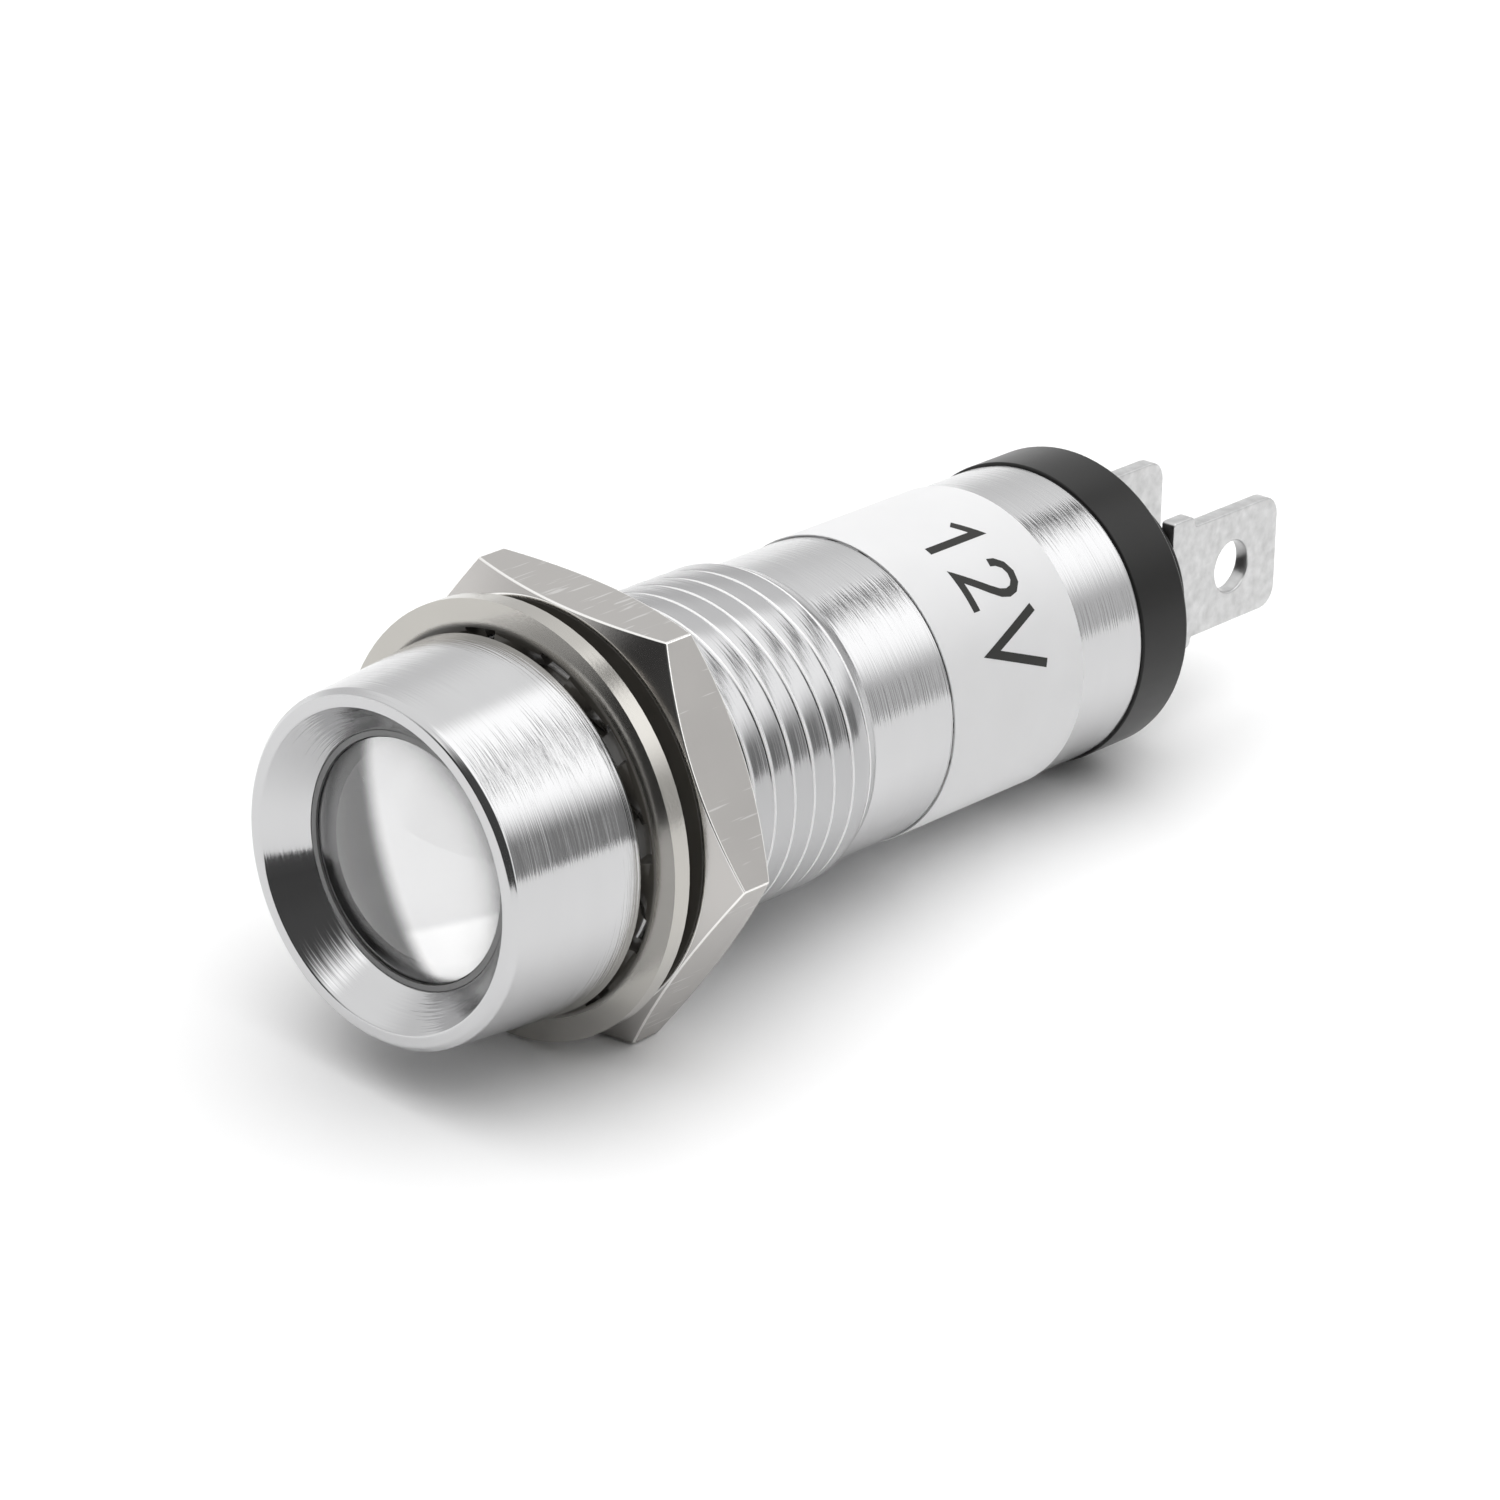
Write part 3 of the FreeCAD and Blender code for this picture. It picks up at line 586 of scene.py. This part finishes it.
def make_sleeve():
    piece = lathe("sleeve_tube", [
        (STUB_END, STUB_RADIUS - SEAM_DEPTH),
        (STUB_END + SEAM_DEPTH, STUB_RADIUS),
        (SLEEVE_END, STUB_RADIUS),
        (SLEEVE_END, SLEEVE_BORE),
        (STUB_END, SLEEVE_BORE),
    ], segments=192, edge=0.04)
    dress(piece, SLEEVE)
    return piece


def make_label():
    outer = STUB_RADIUS + LABEL_THICKNESS
    piece = lathe("label_band", [
        (LABEL_START, STUB_RADIUS),
        (LABEL_START, outer),
        (LABEL_END, outer),
        (LABEL_END, STUB_RADIUS),
    ], segments=192, edge=0.02)
    dress(piece, LABEL)
    return piece


def ribbon(shape, points, width):
    """A flat stroke through the points, with mitred corners."""
    sides = []
    for index, (across, along) in enumerate(points):
        before = points[max(index - 1, 0)]
        after = points[min(index + 1, len(points) - 1)]
        into = Vector((across - before[0], along - before[1], 0)).normalized()
        out = Vector((after[0] - across, after[1] - along, 0)).normalized()
        if index == 0:
            into = out
        if index == len(points) - 1:
            out = into
        normal = Vector((-into.y - out.y, into.x + out.x, 0)).normalized()
        reach = width / 2 / max(normal.dot(Vector((-out.y, out.x, 0))), 0.3)
        shift = normal * reach
        sides.append([shape.verts.new((across + sign * shift.x, along + sign * shift.y, 0))
                      for sign in (1, -1)])
    for first, second in zip(sides, sides[1:]):
        shape.faces.new((first[0], first[1], second[1], second[0]))


def make_print():
    """The rating on the band: flat strokes wrapped round the cylinder. The strokes are laid out in
    millimetres, round the band from its top and along the axis from the bezel's seat."""
    radius = STUB_RADIUS + LABEL_THICKNESS + 0.005
    stroke_width = 0.33
    strip = 0.25
    foot = 19.22
    cap = 22.02
    one = [(1.05, 21.3), (1.85, cap - 0.12), (1.85, foot)]
    two = [(3.14, 21.2), (3.2, 21.48), (3.42, 21.76), (3.76, 21.88), (4.12, 21.8), (4.36, 21.56),
           (4.43, 21.24), (4.34, 20.9), (4.08, 20.5), (3.2, foot + 0.15), (4.66, foot + 0.15)]
    letter = [(5.2, cap), (6.24, foot + 0.1), (7.28, cap)]
    shape = bmesh.new()
    for stroke in (one, two, letter):
        ribbon(shape, stroke, stroke_width)
    for cut in range(1, 32):
        everything = shape.verts[:] + shape.edges[:] + shape.faces[:]
        bmesh.ops.bisect_plane(shape, geom=everything, plane_co=(cut * strip, 0, 0), plane_no=(1, 0, 0))
    for vertex in shape.verts:
        vertex.co = around(vertex.co.x / radius, vertex.co.y, radius)
    bmesh.ops.solidify(shape, geom=shape.faces[:], thickness=0.004 * MM)
    mesh = bpy.data.meshes.new("rating_print")
    shape.to_mesh(mesh)
    shape.free()
    piece = link_mesh("rating_print", mesh)
    dress(piece, PRINT)
    return piece


def make_insulator():
    piece = lathe("end_ring", [
        (SLEEVE_END, INSULATOR_RADIUS),
        (INSULATOR_END - INSULATOR_EDGE, INSULATOR_RADIUS),
        (INSULATOR_END, INSULATOR_RADIUS - INSULATOR_EDGE),
        (INSULATOR_END, BOSS_RADIUS),
        (BOSS_END - BOSS_EDGE, BOSS_RADIUS),
        (BOSS_END, BOSS_RADIUS - BOSS_EDGE),
        (BOSS_END, 0.0),
        (PLUG_FRONT, 0.0),
        (PLUG_FRONT, SLEEVE_BORE),
        (SLEEVE_END, SLEEVE_BORE),
    ], segments=192, edge=0.08)
    dress(piece, BLACK)
    return piece


def rounded_corner(before, corner, after, radius, steps=6):
    """Points of a corner of an outline, rounded with the radius."""
    corner = Vector((*corner, 0))
    first = (Vector((*before, 0)) - corner).normalized()
    second = (Vector((*after, 0)) - corner).normalized()
    half = first.angle(second) / 2
    centre = corner + (first + second).normalized() * radius / math.sin(half)
    start = (corner + first * radius / math.tan(half) - centre).normalized()
    stop = (corner + second * radius / math.tan(half) - centre).normalized()
    points = []
    for step in range(steps + 1):
        point = centre + start.slerp(stop, step / steps) * radius
        points.append((point.x, point.y))
    return points


def make_terminal(name, side):
    """Flat blade with rounded corners, stop shoulders, a tail and a round hole."""
    shoulder_end = BOSS_END + SHOULDER_LENGTH
    half = [
        (TAIL_FRONT, TAIL_HALF_WIDTH, 0.1),
        (BOSS_END, TAIL_HALF_WIDTH, 0.05),
        (BOSS_END, SHOULDER_HALF_WIDTH, 0.15),
        (shoulder_end, SHOULDER_HALF_WIDTH, 0.3),
        (shoulder_end, TAB_HALF_WIDTH, 0.1),
        (TAB_TIP, TAB_HALF_WIDTH, 0.8),
    ]
    corners = half + [(along, -high, round_off) for along, high, round_off in reversed(half)]
    outline = []
    for index, (along, high, round_off) in enumerate(corners):
        before = corners[index - 1][:2]
        after = corners[(index + 1) % len(corners)][:2]
        outline += rounded_corner(before, (along, high), after, round_off)
    hole_steps = 48
    hole = []
    for step in range(hole_steps):
        angle = 2 * math.pi * step / hole_steps
        hole.append((TAB_TIP - TAB_HOLE_INSET + TAB_HOLE_RADIUS * math.cos(angle),
                     TAB_HOLE_RADIUS * math.sin(angle)))
    curve = bpy.data.curves.new(name, "CURVE")
    curve.dimensions = "2D"
    curve.fill_mode = "BOTH"
    curve.extrude = TAB_THICKNESS / 2 - TAB_EDGE
    curve.bevel_depth = TAB_EDGE
    curve.bevel_resolution = 2
    curve.offset = -TAB_EDGE
    for points in (outline[::-1], hole[::-1]):
        spline = curve.splines.new("POLY")
        spline.points.add(len(points) - 1)
        spline.use_cyclic_u = True
        for place, (along, high) in zip(spline.points, points):
            place.co = (along, high, 0, 1)
    holder = bpy.data.objects.new(name + "_outline", curve)
    bpy.context.collection.objects.link(holder)
    bpy.context.view_layer.update()
    mesh = bpy.data.meshes.new_from_object(holder.evaluated_get(bpy.context.evaluated_depsgraph_get()))
    bpy.data.objects.remove(holder)
    for vertex in mesh.vertices:
        along, high, out = vertex.co
        across = side * TAB_SPACING / 2 + out
        high += TERMINAL_RISE
        vertex.co = Vector((across * math.cos(TURN) - high * math.sin(TURN), along,
                            across * math.sin(TURN) + high * math.cos(TURN))) * MM
    smooth(mesh, 40)
    piece = link_mesh(name, mesh)
    dress(piece, TIN)
    return piece


def dress_cad_nodes():
    """Finishes for the solids that are shown as they are."""
    choices = {
        "lens_gasket": RUBBER, "lamp_holder": WHITE, "led_lamp": EPOXY, "anode_lead": TIN,
        "cathode_lead": TIN, "insulating_liner": FILM, "circuit_board": BOARD,
        "series_resistor": CERAMIC, "reverse_diode": DIODE, "anode_solder": TIN,
        "cathode_solder": TIN, "positive_solder": TIN, "negative_solder": TIN, "lock_washer": WASHER,
    }
    for node, material in choices.items():
        dress(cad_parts[node], material)


def carry(piece, body, slot, *nodes):
    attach(piece, body)
    if nodes:
        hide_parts(*nodes)


bezel, stub = make_housing()
thread = make_thread()
carry(bezel, BODY, "bezel_metal", "housing")
carry(stub, BODY, "bezel_metal", "housing")
carry(thread, BODY, "bezel_metal", "housing")
carry(make_nut(), "nut", "nut_metal", "panel_nut")
carry(make_lens(), BODY, "clear_plastic", "lens")
carry(make_sleeve(), BODY, "sleeve_metal", "rear_sleeve")
carry(make_label(), BODY, "label_white", "voltage_label")
carry(make_print(), BODY, "black_plastic")
carry(make_insulator(), BODY, "black_plastic", "rear_insulator")
carry(make_terminal("positive_blade", 1), BODY, "tinned_metal", "positive_terminal")
carry(make_terminal("negative_blade", -1), BODY, "tinned_metal", "negative_terminal")
dress_cad_nodes()

# stage and light

def make_floor():
    """The lamp rests on the washer's rim and the end ring, so the floor tilts a little in its frame."""
    ring_edge = INSULATOR_END - INSULATOR_EDGE
    tilt = math.atan((WASHER_RADIUS - INSULATOR_RADIUS) / (ring_edge - WASHER_REAR))
    size = 1.2
    corners = [(-size, -size, 0), (size, -size, 0), (size, size, 0), (-size, size, 0)]
    mesh = bpy.data.meshes.new("floor")
    mesh.from_pydata(corners, [], [(0, 1, 2, 3)])
    floor = link_mesh("floor", mesh)
    contact = Vector((0, WASHER_REAR * MM, -WASHER_RADIUS * MM))
    floor.matrix_world = Matrix.Translation(contact) @ Matrix.Rotation(tilt, 4, "X")
    material, tree, shader = new_material("floor_white")
    grain = noise(tree, object_place(tree), 50.0, 2.0)
    paper = mix(tree, grain, (0.93, 0.93, 0.93), (0.95, 0.95, 0.95))
    tree.links.new(paper, shader.inputs["Base Color"])
    shader.inputs["Roughness"].default_value = 0.9
    shader.inputs["Specular IOR Level"].default_value = 0.1
    dress(floor, material)


def make_studio():
    """The room that the metal mirrors, as brightness by direction: an overhead softbox, a grey wall
    on the left, a darker horizon on the right, a dark room behind the camera and a thin dark seam.
    Matt surfaces get a plain soft light from above, and the camera itself sees white."""
    world = bpy.data.worlds.new("studio")
    bpy.context.scene.world = world
    world.use_nodes = True
    tree = world.node_tree
    directions = tree.nodes.new("ShaderNodeTexCoord")
    split = tree.nodes.new("ShaderNodeSeparateXYZ")
    tree.links.new(directions.outputs["Generated"], split.inputs["Vector"])
    x, y, z = split.outputs["X"], split.outputs["Y"], split.outputs["Z"]

    low_left = ease(tree, z, 0.0, 0.3, 1.2, 0.86)
    left = math_node(tree, "ADD", low_left, ease(tree, z, 0.4, 0.7, 0.0, 0.25))
    backdrop = ease(tree, y, 0.62, 0.69, 0.27, 0.74)
    low_right = math_node(tree, "ADD", backdrop, ease(tree, y, 0.15, 0.5, 1.2, 0.0))
    right = ease(tree, z, 0.3, 0.58, low_right, 1.75)
    sky = mix(tree, ease(tree, x, -0.24, -0.06), left, right, kind="FLOAT")

    toward_camera = math_node(tree, "SUBTRACT", math_node(tree, "MULTIPLY", x, 0.45),
                              math_node(tree, "MULTIPLY", y, 0.89))
    sky = math_node(tree, "MULTIPLY", sky, ease(tree, toward_camera, 0.42, 0.7, 1.0, 0.05))

    slope = math_node(tree, "DIVIDE", x, math_node(tree, "MAXIMUM", z, 0.05))
    slant = math_node(tree, "MULTIPLY", math_node(tree, "SUBTRACT", y, 0.572), 2.96)
    offset = math_node(tree, "SUBTRACT", math_node(tree, "ADD", slope, slant), 0.379)
    width = ease(tree, y, 0.57, 0.69, 0.09, 0.15)
    widths_away = math_node(tree, "DIVIDE", math_node(tree, "ABSOLUTE", offset), width)
    seam = ease(tree, widths_away, 0.5, 1.3, 0.08, 1.0)
    sky = math_node(tree, "MULTIPLY", sky, seam)

    soft = ease(tree, z, 0.5, 0.98, 0.04, 2.65)
    rays = tree.nodes.new("ShaderNodeLightPath")
    seen = mix(tree, rays.outputs["Is Diffuse Ray"], sky, soft, kind="FLOAT")
    seen = mix(tree, rays.outputs["Is Camera Ray"], seen, 1.0, kind="FLOAT")
    background = tree.nodes["Background"]
    background.inputs["Color"].default_value = (1, 1, 1, 1)
    tree.links.new(seen, background.inputs["Strength"])


def make_camera():
    """The camera as fitted to the photograph."""
    place = Vector((0.12172, -0.13227, 0.08979))
    right = Vector((0.7379, 0.6701, 0.0804))
    down = Vector((0.3455, -0.2728, -0.8979))
    forward = Vector((-0.5798, 0.6903, -0.4328))
    lens = bpy.data.cameras.new("camera")
    lens.sensor_width = 36
    lens.lens = 144
    lens.clip_start = 0.01
    camera = bpy.data.objects.new("camera", lens)
    bpy.context.collection.objects.link(camera)
    turn = Matrix((right, -down, -forward)).transposed().to_4x4()
    camera.matrix_world = Matrix.Translation(place) @ turn
    bpy.context.scene.camera = camera


make_floor()
make_studio()
make_camera()
bpy.context.scene.view_settings.view_transform = "Standard"
